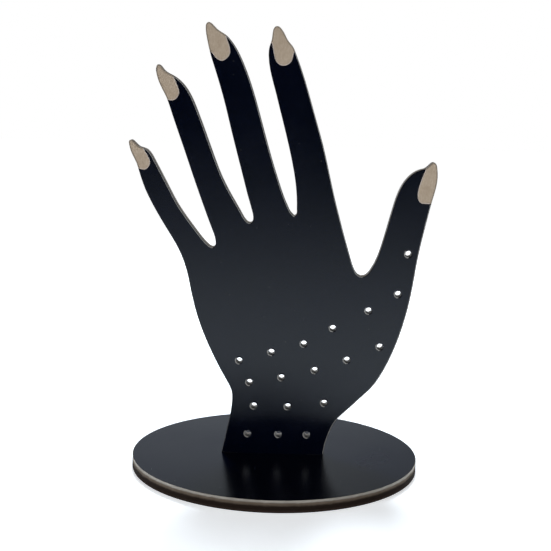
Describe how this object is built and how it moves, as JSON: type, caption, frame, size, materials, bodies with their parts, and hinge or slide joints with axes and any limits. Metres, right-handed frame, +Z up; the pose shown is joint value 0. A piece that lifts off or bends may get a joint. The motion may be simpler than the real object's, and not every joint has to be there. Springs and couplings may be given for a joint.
{
  "type": "hand ring holder",
  "caption": "Upright flat hand with long nails and rows of small holes, slotted into a round base, for rings on the fingers and earrings in the holes.",
  "frame": {"origin": "centre of the round base at its underside, on the flush end of the hand panel's tab", "axes": "+Z up, the hand's engraved face looks along -Y, and +X is towards the thumb"},
  "size_m": [0.1261, 0.12, 0.1838],
  "materials": {
    "hand_board": "satin black faced board, laser-cut charred edges, greige engraved nails",
    "base_board": "satin black faced board, laser-cut charred rim"
  },
  "bodies": {
    "base": {"base_disc": "base_board"},
    "hand": {"hand_panel": "hand_board"}
  },
  "joints": [
    {"name": "hand_lift", "type": "slide", "parent": "base", "child": "hand", "axis": [0, 0, 1], "range_m": [0, 0.015]}
  ]
}
